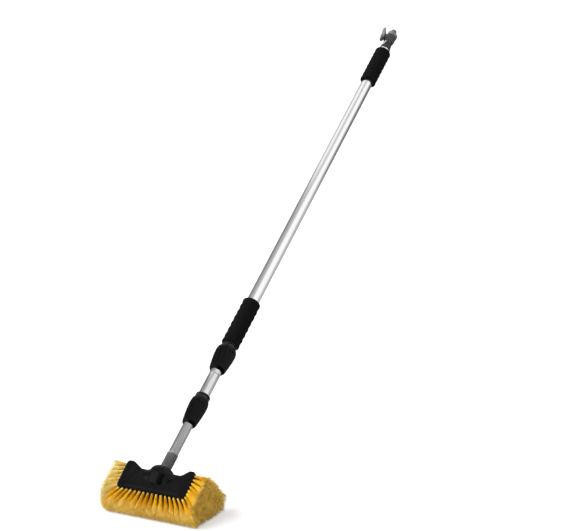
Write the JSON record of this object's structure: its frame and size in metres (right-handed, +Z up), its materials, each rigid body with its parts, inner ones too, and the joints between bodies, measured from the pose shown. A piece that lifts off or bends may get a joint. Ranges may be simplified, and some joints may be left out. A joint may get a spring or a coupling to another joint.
{
  "type": "telescopic flow-through wash brush",
  "caption": "Vehicle wash brush: angled block with fanned soft bristles on an extending aluminium pole with twist locks, foam grips and a lever valve with a hose nipple.",
  "frame": {"origin": "on the floor, at the middle of the flat bristle tips under the block", "axes": "+X along the brush block, +Y towards the side that the pole leans to, +Z up; the pole rises at 35 degrees from +Y"},
  "size_m": [0.1981, 1.1119, 0.8129],
  "materials": {
    "block": "moulded, fine texture",
    "bristle": "fine strands, amber yellow with pale tips",
    "connector": "grey moulding, threaded",
    "rubber_ring": "matte",
    "tube": "satin anodised",
    "nylon": "natural white",
    "lock": "semi gloss moulding",
    "foam": "closed cell foam, matte",
    "valve": "dark grey moulding",
    "steel": "polished",
    "lever": "grey moulding",
    "nipple": "grey moulding"
  },
  "bodies": {
    "head": {"brush_block": "block", "base_bristles": "bristle", "front_bristles": "bristle", "left_bristles": "bristle", "right_bristles": "bristle", "thread_connector": "connector", "connector_washer": "rubber_ring", "inner_tube": "tube", "inner_piston": "nylon", "inner_piston_ring": "rubber_ring"},
    "middle": {"middle_tube": "tube", "lower_lock_base": "lock", "lower_lock_collet": "nylon", "middle_piston": "nylon", "middle_piston_ring": "rubber_ring"},
    "outer": {"outer_tube": "tube", "upper_lock_base": "lock", "upper_lock_collet": "nylon", "front_grip": "foam", "rear_grip": "foam", "valve_body": "valve", "valve_plug_ring": "rubber_ring", "lower_valve_seat": "nylon", "upper_valve_seat": "nylon", "hose_nipple": "nipple", "nipple_ring": "rubber_ring"},
    "lower_collar": {"lower_lock_collar": "lock"},
    "upper_collar": {"upper_lock_collar": "lock"},
    "lever": {"valve_lever": "lever", "valve_spindle": "valve", "spindle_ring": "rubber_ring", "lever_screw": "steel", "valve_ball": "steel"}
  },
  "joints": [
    {"name": "middle_slide", "type": "slide", "parent": "head", "child": "middle", "axis": [0, 0.8192, 0.5736], "range_m": [0, 0.876]},
    {"name": "outer_slide", "type": "slide", "parent": "middle", "child": "outer", "axis": [0, 0.8192, 0.5736], "range_m": [0, 0.766]},
    {"name": "lower_collar_turn", "type": "hinge", "parent": "middle", "child": "lower_collar", "pos_m": [0, 0.13137, 0.16274], "axis": [0, 0.8192, 0.5736], "range_deg": [0, 90]},
    {"name": "upper_collar_turn", "type": "hinge", "parent": "outer", "child": "upper_collar", "pos_m": [0, 0.23786, 0.2373], "axis": [0, 0.8192, 0.5736], "range_deg": [0, 90]},
    {"name": "lever_turn", "type": "hinge", "parent": "outer", "child": "lever", "pos_m": [0, 1.01851, 0.78392], "axis": [-0.7071, -0.4056, 0.5792], "range_deg": [0, 90]}
  ]
}
